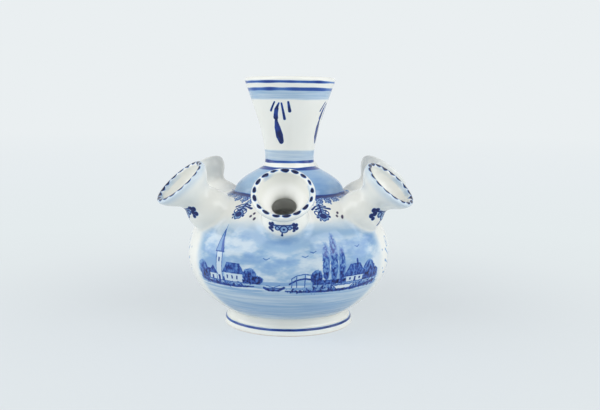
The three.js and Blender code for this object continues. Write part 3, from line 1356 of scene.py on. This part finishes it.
CHURCH_LINES = {
    "strokes": [
        ([(-54.8, 69), (-50.8, 85.4), (-46.8, 69)], 0.5),
        ([(-43.8, 61.6), (-32.6, 61.6), (-29, 54.4)], 0.5),
        ([(-62.4, 51.8), (-57.2, 57.6), (-52.2, 51.8)], 0.6),
    ],
    "stroke": [
        ((-50.8, 85), (-50.8, 88), 0.45), ((-53.6, 69), (-53.6, WATERLINE), 0.5),
        ((-48, 69), (-48, WATERLINE), 0.5), ((-54.8, 69), (-46.8, 69), 0.7),
        ((-47.6, 54.2), (-28.8, 54.2), 0.6),
    ],
}
FARM_LINES = {
    "strokes": [([(46.2, 52), (52, 60.8), (61, 60.8), (66.8, 52)], 0.6)],
    "stroke": [((46.2, 52), (66.8, 52), 0.7), ((58.5, 60.6), (58.5, 64), 1.6)],
}
TRUNKS = {
    "stroke": [((foot, 50.5), (foot, 46.6), 0.9) for foot in (31.5, 38, 44.6, -24.5)]
}
BIRD_PLACES = [(16, 68), (22, 71), (-12, 66), (60, 73)]
BIRDS = {
    "strokes": [
        ([(u - 2.2, v + 0.9), (u, v), (u + 2.2, v + 1.1)], 0.4) for u, v in BIRD_PLACES
    ]
}
DARK_LINES = [
    BRIDGE, BOAT, BANKS, PUNT_LINES, REEDS, FENCE, CHURCH_LINES, FARM_LINES, TRUNKS,
    BIRDS,
]
print("designs in dark lines:", len(DARK_LINES))

# %% Lay the dark lines
def add_lines(scene, ink):
    """Draws every dark line over the washes."""
    paper = scene.canvas
    grass = noise(scene.flat.point, 0.32, 4.0, 0.75)
    bank = paper.drawn(BANK) + (0.5 - grass) * 14.0 + 0.2
    ink = over(ink, inked(bank, 0.6), ramped(scene.leaf, 0.35, 0.65, 0.5, 0.95))
    ink = paper.paint(ink, PUNT, 0.3, 0.08)
    drawn = paper.drawn(*DARK_LINES)
    return over(ink, inked(drawn, 0.36), loaded(scene.leaf, 0.74, 0.96))


bowl_ink = add_lines(bowl_scene, bowl_ink)
front = inked(scene_edge(bowl_scene), EDGE_SOFTNESS)
bowl_ink = bowl_ink * (front * ramped(bowl_place.z, *PAINT_FOOT))
print("with all lines:", len(bowl_nodes), "nodes")

# %% [markdown]
# ## The shoulder's border and sprays
#
# A lacy border hangs from the dark shoulder line, and in each gap between two
# spouts a small flower spray and three dots are painted. The painter repeats
# them round the pot, so the azimuth is folded into one gap.

# %% Canvases on the shoulder
GAP_TURN = math.radians(60)
LACE_TURN = GAP_TURN / 7
ORNAMENT_END = 80.0


def gap_canvas(place):
    """A canvas for one gap: u across it, v down the skin from the shoulder."""
    turn = folded(place.azimuth, GAP_TURN)
    hidden = place.z.math("LESS_THAN", ORNAMENT_END) * 100.0
    down = (place.radius - SHOULDER_RADIUS) * 1.2 + hidden
    return Canvas(turn * place.radius, -down)


def lace_canvas(place, gap):
    """A narrow canvas that holds one arch of the lace and repeats."""
    return Canvas(folded(place.azimuth, LACE_TURN) * place.radius, gap.v)


print("lace arches round the shoulder:", round(math.tau / LACE_TURN))

# %% Lace, spray and dots
LACE_ARCH = ((0.0, -2.6), 3.7, 8.4)
LACE = {
    "strokes": [
        ([(-3.8, -2.4), (0, -3.4), (3.8, -2.4)], 1.3),
        ([(1.3, -5.4), (2.7, -7.6), (1.2, -9.8), (-1.8, -10.4)], 1.1, 0.7),
    ],
    "ring": [((-0.6, -6.6), 1.9, 0.8, 2.3)],
    "spot": [
        ((-0.4, -6.5), 0.8), ((3.6, -4.8), 0.9), ((-3.4, -9.2), 0.9),
        ((0.4, -11.6), 0.7),
    ],
}
FLOWER_CENTRE = (-3.9, -23.4)
FLOWER_PETALS = 6
FLOWER_RADIUS = 3.8
FLOWER_WAVE = 0.35
SPRAY = {
    "spot": [
        (FLOWER_CENTRE, 3, 2.3), ((-8.9, -24.2), 0.9, 1), ((0.9, -24.2), 1, 1.1),
        ((-7.6, -26.6), 0.7, 0.8),
    ],
    "stroke": [
        ((-2.8, -11.6), (-4.2, -21), 1.6, 1), ((-3.6, -15.4), (-7.4, -17), 1, 1.6),
        ((-3, -12.6), (1.6, -14.2), 1, 1.7), ((-3.4, -14.6), (4.4, -17), 1, 2.1),
        ((-3.8, -17.2), (0.4, -18.4), 0.9, 1.6), ((-4, -18), (-6.2, -20.2), 0.9, 1.5),
    ],
    "strokes": [([(-3, -12.4), (-6.4, -13.6), (-10.4, -17)], 0.9, 1.6)],
    "ring": [((-8.2, -20.5), 1.5, 0.8, 1.9), ((0.5, -20.8), 1.3, 0.8, 1.6)],
}
SPRAY_WASH = {"stroke": [((-3, -12), (-4, -20), 4, 5.4)]}
THREE_DOTS = {
    "spot": [
        ((9.4, -21.6), 1.05, 1.2), ((7.7, -24.1), 1.05, 1.2), ((11.8, -26), 1.1, 1.3),
    ],
}
MANGANESE = srgb(70, 62, 92)
print("petals of a flower:", FLOWER_PETALS)

# %% Lay the shoulder's ornament
def flower_edge(gap):
    """The wavy outline of the spray's flower."""
    across = gap.u - FLOWER_CENTRE[0]
    up = gap.v - FLOWER_CENTRE[1]
    reach = (across * across + up * up).math("SQRT")
    wave = (up.math("ARCTAN2", across) * FLOWER_PETALS).math("SINE")
    return reach - (wave * FLOWER_WAVE + FLOWER_RADIUS)


def add_shoulder(place, ink):
    """Adds the line, the lace and the spray, and gives the dots apart."""
    gap = gap_canvas(place)
    lace = lace_canvas(place, gap)
    arch = inked(lace.spot(*LACE_ARCH), 0.3)
    ink = over(ink, arch, ramped(gap.v, -8.0, -1.0, 0.27, 0.52))
    ink = lace.paint(ink, LACE, 0.5, 0.9)
    petals = flower_edge(gap)
    ink = over(ink, inked(petals.at_most(gap.drawn(SPRAY_WASH)), 0.4), 0.4)
    spray_lines = (abs(petals) - 0.35).at_most(gap.drawn(SPRAY))
    ink = over(ink, inked(spray_lines, 0.3), 0.92)
    sway = unsteady(place.point, 0.05, 0.9)
    ink = over(ink, inked(shoulder_line(place, sway), 0.6), 0.9)
    return ink, inked(gap.drawn(THREE_DOTS), 0.3)


print("the shoulder's ornament fits in", round(math.degrees(GAP_TURN)), "degrees")

# %% [markdown]
# ## The sprigs on the sides and the back
#
# The photo shows only the tips of a faint sprig at each side of the scene. The
# back isn't seen. It gets a tulip spray, the usual motif of such vases, and the
# azimuth is folded so that one drawing makes both halves.

# %% Side and back sprigs
SIDE_SPRIG = {
    "strokes": [([(104, 42), (108.5, 54), (107, 67)], 0.9, 0.6)],
    "stroke": [
        ((108.2, 60), (100.5, 65.5), 0.8, 2.2), ((108.2, 57.5), (115, 62), 0.8, 2.2),
        ((107.6, 53.5), (98.6, 57), 0.8, 2.2), ((106.6, 49), (113.8, 52.5), 0.8, 2.2),
        ((105.4, 45.6), (98.6, 47), 0.8, 1.9),
    ],
    "ring": [((107, 70.5), 3.4, 0.7, 4)],
    "spot": [
        ((107, 70), 1.3, 1.6), ((93, 66), 0.8), ((94.5, 51), 0.8),
        ((118.5, 56.5), 0.8),
    ],
}
BACK_LINE = math.pi * BELLY_CANVAS_RADIUS
BACK_TULIP_WASH = {"spot": [((0, 68.6), 4.8, 6.2), ((17.4, 58.4), 3, 3.6)]}
BACK_TULIP = {
    "stroke": [
        ((0, 37), (0, 62.6), 0.9), ((0.2, 39), (6, 44.6), 1, 3.2),
        ((6, 44.6), (10.4, 51), 3.2, 2.2), ((10.4, 51), (12.4, 57.6), 2.2, 0.5),
        ((0.2, 46), (3.4, 51.4), 0.9, 2.2), ((3.4, 51.4), (4.8, 57.6), 2.2, 0.5),
    ],
    "strokes": [
        ([(0, 62.4), (3.8, 64), (5.2, 68.8), (4.6, 75.2)], 0.9),
        ([(4.6, 75.2), (2.8, 71.6), (2.4, 67)], 0.8, 0.5),
        ([(0, 76.2), (2.2, 72.6)], 0.8),
        ([(0.2, 41.4), (9, 43), (15.6, 47.6), (17.6, 54.8)], 0.7),
    ],
    "ring": [((17.4, 58.4), 3, 0.7, 3.6)],
    "spot": [
        ((17.4, 57.8), 0.9, 1.2), ((11.4, 66), 0.8), ((23.4, 50.4), 0.8),
        ((21.4, 67.4), 0.8), ((9.4, 73), 0.7),
    ],
}
print("strokes of the back's leaves and stem:", len(BACK_TULIP["stroke"]))

# %% Bowl material
def add_sprigs(scene, ink):
    """Adds a faint sprig at each side and a tulip spray at the back."""
    side = Canvas(abs(scene.flat.u), scene.canvas.v)
    ink = side.paint(ink, SIDE_SPRIG, 0.3, 0.46)
    back = Canvas(BACK_LINE - side.u, scene.canvas.v)
    ink = back.paint(ink, BACK_TULIP_WASH, 0.4, 0.34)
    return back.paint(ink, BACK_TULIP, 0.3, 0.84)


bowl_ink = add_sprigs(bowl_scene, bowl_ink)
bowl_ink, dots = add_shoulder(bowl_place, bowl_ink)
bowl.data.materials.append(glaze(bowl_place, bowl_ink, tints=[(dots, MANGANESE)]))
give_inside_glaze(bowl, inside_bowl)

# %% [markdown]
# ## The spouts' paint
# Each lip has a ring of dark oval dashes round a pale brushed line, and a small
# garland hangs under each mouth. Each spout carries its own axes as an
# attribute, so one recipe paints all six. The sky's wash runs up on the root
# of the front spout, because the painter's brush didn't stop at the joint. The
# insides are white glaze, and deep in the throat they turn whiter still:
# painted light that lifts the throat's shade.

# %% Where a point of a spout is
SIDE_SPOUTS_AT = 1.05


class SpoutPlace:
    """A point of a spout on the spout's own axes, in mm."""

    def __init__(self, recipe):
        own = recipe.node("Attribute", {"attribute_name": OWN_AXES}, [], output=1)
        x, y, z = recipe.parts(own)
        self.depth = -z
        self.turn = x.math("ARCTAN2", -y)
        self.radius = (x * x + y * y).math("SQRT")
        self.inside = recipe.node(
            "Attribute", {"attribute_name": INNER_SKIN}, [], output=2
        )


def on_sides(vase):
    """1 on the two front side spouts, and 0 on the front and back ones."""
    return inked(abs(abs(vase.azimuth) - SIDE_SPOUTS_AT) - 0.45, 0.06)


print("spouts carry the attributes", OWN_AXES, "and", INNER_SKIN)

# %% Lip paint
LIP_LINE_RADIUS = 20.6
LIP_DASHES = 17
DASH_TURN = math.tau / LIP_DASHES
DASH_SIZE = (2.6, 1.2)
DASH_DEPTH = 3.2
PALE_RING_RADIUS = 18.9
PALE_RING_WIDTH = 1.0
PALE_RING_DEPTH = 3.6


def lip_paint(vase, spout):
    """The ink on the lip: a pale line, a paler outside and the dark dashes."""
    load = noise(vase.point, 0.06, 1.0)
    pale = abs(spout.radius - PALE_RING_RADIUS) - PALE_RING_WIDTH / 2
    pale = pale.at_least(spout.depth - PALE_RING_DEPTH)
    ink = inked(pale, 0.8) * ramped(load, 0.46, 0.66, 0.0, 0.26)
    outside = ramped(spout.radius, 19.4, 20.4) * ramped(spout.depth, 8.0, 1.0)
    ink = ink + outside * (on_sides(vase) * 0.09 + 0.03)
    uneven = noise(vase.point, 0.13, 1.0) - 0.5
    turn = folded(spout.turn + uneven * 0.12, DASH_TURN)
    ring = Canvas(turn * LIP_LINE_RADIUS, spout.radius - LIP_LINE_RADIUS + uneven)
    dashes = ring.spot((0.0, 0.0), *DASH_SIZE) - uneven * 1.6 - on_sides(vase) * 0.35
    return over(ink, inked(dashes.at_least(spout.depth - DASH_DEPTH), 0.3), 1.0)


print("dashes on each lip:", LIP_DASHES)

# %% Garland
GARLAND_RADIUS = 16.0
GARLAND_MIDDLE = -26.0
GARLAND_GROWTH = 0.22
GARLAND_RISE = 3.4
THROAT_RADIUS = 9.7
THROAT_FLARE = 0.15
GARLAND_FLOWER = (0.2, -26.3)
GARLAND_WASH = {
    "spot": [(GARLAND_FLOWER, 3), ((-4.4, -25.6), 2.8, 2.2), ((4.4, -25.4), 2.4, 2)],
    "stroke": [((-8.6, -24), (7.4, -23.8), 2)],
}
GARLAND = {
    "ring": [
        (GARLAND_FLOWER, 2.9, 0.8), ((-4.8, -25.9), 1.5, 0.7),
        ((4.6, -25.8), 1.3, 0.7),
    ],
    "spot": [
        (GARLAND_FLOWER, 0.9), ((-9.4, -23.6), 1.5), ((-11.4, -25), 1.5),
        ((-9.2, -26.4), 1.6), ((-10.4, -28.4), 1.5), ((-8.4, -29.4), 1.2),
        ((8.2, -23.8), 1.5), ((10.2, -25.2), 1.5), ((8, -26.6), 1.6),
        ((9.8, -28.2), 1.4), ((7.4, -29), 1.2),
    ],
    "strokes": [([(-8.6, -24.6), (-4.4, -23.3), (0.4, -22.8), (6.4, -23.6)], 0.9)],
    "stroke": [((-1, -29.6), (-1.2, -32.4), 0.9, 1.7)],
}


def add_garland(vase, spout, ink):
    """Hangs the garland, larger and nearer the mouth on all but the front spout."""
    others = abs(vase.azimuth).math("GREATER_THAN", 0.5)
    size = 1.0 - others * GARLAND_GROWTH
    below = (spout.depth + others * GARLAND_RISE + GARLAND_MIDDLE) * size
    canvas = Canvas(spout.turn * size * GARLAND_RADIUS, GARLAND_MIDDLE - below)
    ink = canvas.paint(ink, GARLAND_WASH, 0.3, 0.42)
    ink = canvas.paint(ink, GARLAND, 0.3, 0.94)
    bore = spout.depth * THROAT_FLARE + THROAT_RADIUS - spout.radius
    return ink * (1.0 - spout.inside) * inked(bore, 0.4)


print("buds and leaves in a garland:", len(GARLAND["spot"]))

# %% Spout material
SKY_REACH = (9.0, 3.4)
BORDER_LIFT = (3.6, 2.2)
BORDER_RADIUS = (50.0, 47.5)
THROAT_PAINTED_LIGHT_DEPTH = (7.0, 12.0)


def belly_lift(place):
    """About how far a point stands over the belly's skin, in mm."""
    flat = place.radius / BELLY_RADIUS
    tall = (place.z - BELLY_HEIGHT) / UPPER_HALF
    return ((flat * flat + tall * tall).math("SQRT") - 1.0) * BELLY_RADIUS


spout_vase = Place("spout_paint")
spout_scene = Scene(spout_vase)
spout_sky = sky_wash(spout_scene) * inked(scene_edge(spout_scene), EDGE_SOFTNESS)
root_reach = ramped(abs(spout_vase.azimuth), 0.5, 0.6, *SKY_REACH)
lift = belly_lift(spout_vase)
spout_sky = spout_sky * ramped(lift / root_reach, 1.0, 0.1)
border, spout_dots = add_shoulder(spout_vase, 0.0)
on_root = ramped(lift, *BORDER_LIFT)
on_root = on_root.at_least(ramped(spout_vase.radius, *BORDER_RADIUS))
spout_ink = spout_sky.at_least(border * on_root)
spout_own = SpoutPlace(spout_vase.recipe)
spout_ink = add_garland(spout_vase, spout_own, spout_ink)
spout_ink = spout_ink + lip_paint(spout_vase, spout_own)
# Deep in the throat the inside turns whiter: painted light that lifts the throat's
# shade.
throat_painted_light = ramped(spout_own.depth, *THROAT_PAINTED_LIGHT_DEPTH) * spout_own.inside
spout_tints = [(spout_dots * on_root, MANGANESE), (throat_painted_light, INSIDE_GLAZE_WITH_PAINTED_LIGHT)]
spout_material = glaze(spout_vase, spout_ink, tints=spout_tints)
for spout in spouts:
    spout.data.materials.append(spout_material)
print(spout_material.name, "is on", len(spouts), "spouts")

# %% [markdown]
# ## Floor and light
#
# The vase stands on a white sweep in even light. Near the vase the floor is
# partly a matt white that takes its shadow and partly a glowing tone that
# softens the shadow, painted light. The glowing tone is a little darker near the
# vase, painted shade; further out the camera sees the same pale tone as behind
# the vase, so no horizon shows. Four soft boxes light the vase: two in front,
# and a weaker one at each side.

# %% Floor and background
FLOOR_WHITE = srgb(221, 229, 235)
BACKGROUND = srgb(234, 239, 241)
# The floor's glowing tone is darker near the vase than far out: painted shade.
FLOOR_TONES = [
    (0.04, srgb(224, 230, 233)),
    (0.14, srgb(228, 235, 237)),
    (0.35, srgb(230, 236, 239)),
    (1.00, BACKGROUND),
]
FLOOR_RADIUS = 4.0
SHADOW_NEAR = 0.1
SHADOW_FAR = 0.4
# Near the vase this share of the floor glows with its tone instead of taking shadow:
# painted light that softens the shadow.
SHADOW_SOFTENED = 0.62
LIGHT_WORLD = 0.42

floor_work = bmesh.new()
bmesh.ops.create_circle(floor_work, cap_ends=True, segments=96, radius=FLOOR_RADIUS)
floor = add_object("studio_floor", mesh_of("studio_floor", floor_work))


def seen_directly(recipe):
    """1 for rays that come from the camera, or through gloss or glass."""
    path = recipe.node("LightPath", {}, [])
    node = path.socket.node
    glossy = Field(recipe, node.outputs["Is Glossy Ray"])
    through = Field(recipe, node.outputs["Is Transmission Ray"])
    return path.at_least(glossy).at_least(through)


floor_recipe = Recipe(bpy.data.materials.new("studio_floor_paper"))
floor_point = floor_recipe.node("TexCoord", {}, [], output=3)
floor_reach = floor_recipe.node(
    "VectorMath", {"operation": "LENGTH"}, [floor_point], output=1
)
matt = floor_recipe.node("BsdfDiffuse", {}, {"Color": FLOOR_WHITE})
share = floor_reach / FLOOR_RADIUS
tone = floor_recipe.node("ValToRGB", {"stops": FLOOR_TONES}, [share])
glowing_floor_tone = floor_recipe.node("Emission", {}, {"Color": tone, "Strength": 1.0})
fade = ramped(floor_reach, SHADOW_NEAR, SHADOW_FAR, SHADOW_SOFTENED, 1.0)
fade = fade * seen_directly(floor_recipe)
floor_shader = floor_recipe.node("MixShader", {}, [fade, matt, glowing_floor_tone])
floor_recipe.node("OutputMaterial", {}, {"Surface": floor_shader})
floor.data.materials.append(floor_recipe.owner)
print("floor radius", FLOOR_RADIUS, "m")

# %% World
world = bpy.data.worlds.new("studio_room")
bpy.context.scene.world = world
room = Recipe(world)
backdrop = room.node("Background", {}, {"Color": BACKGROUND, "Strength": 1.0})
light = room.node("Background", {}, {"Color": (1.0,) * 4, "Strength": LIGHT_WORLD})
shown = room.node("MixShader", {}, [seen_directly(room), light, backdrop])
room.node("OutputWorld", {}, {"Surface": shown})
print("world light", LIGHT_WORLD)

# %% Lamps
LAMPS_LOOK_AT = Vector((0.0, 0.0, 0.09))
# Each lamp is its place and its size in metres, and its power in watts.
LAMPS = {
    "left_soft_box": ((-0.85, -0.6, 0.75), 0.85, 6.8),
    "right_soft_box": ((0.85, -0.6, 0.7), 0.8, 6.2),
    "left_side_box": ((-1.1, 0.0, 0.4), 0.6, 2.3),
    "right_side_box": ((1.1, 0.0, 0.4), 0.6, 2.1),
}


def soft_box(name, place, size, power):
    """A square studio lamp that looks at the vase."""
    lamp = bpy.data.lights.new(name, "AREA")
    lamp.shape = "SQUARE"
    lamp.size = size
    lamp.energy = power
    holder = add_object(name, lamp)
    holder.location = place
    look = LAMPS_LOOK_AT - Vector(place)
    holder.rotation_euler = look.to_track_quat("-Z", "Y").to_euler()


for name, (place, size, power) in LAMPS.items():
    soft_box(name, place, size, power)
print(len(LAMPS), "soft boxes")

# %% [markdown]
# ## Camera
#
# The camera was fitted to the rings of the photographed vase: it stands 642 mm
# from the axis and 179 mm up, looks a little down, and leans half a degree.

# %% Camera
CAMERA_REACH = 0.642
CAMERA_HEIGHT = 0.179
CAMERA_SIDE = math.radians(3.0)
CAMERA_YAW = math.radians(2.2)
CAMERA_PITCH = math.radians(90 - 7.35)
CAMERA_ROLL = math.radians(0.51)
IMAGE_WIDTH = 600
FOCAL_PIXELS = 784
SENSOR_MM = 36.0

camera_data = bpy.data.cameras.new("camera")
camera_data.sensor_fit = "HORIZONTAL"
camera_data.sensor_width = SENSOR_MM
camera_data.lens = SENSOR_MM * FOCAL_PIXELS / IMAGE_WIDTH
camera = add_object("camera", camera_data)
camera_place = (
    CAMERA_REACH * math.sin(CAMERA_SIDE),
    -CAMERA_REACH * math.cos(CAMERA_SIDE),
    CAMERA_HEIGHT,
)
camera.matrix_world = (
    Matrix.Translation(camera_place)
    @ Matrix.Rotation(CAMERA_YAW, 4, "Z")
    @ Matrix.Rotation(CAMERA_PITCH, 4, "X")
    @ Matrix.Rotation(CAMERA_ROLL, 4, "Z")
)
bpy.context.scene.camera = camera
bpy.context.scene.view_settings.view_transform = "Standard"
print("lens", round(camera_data.lens, 2), "mm")
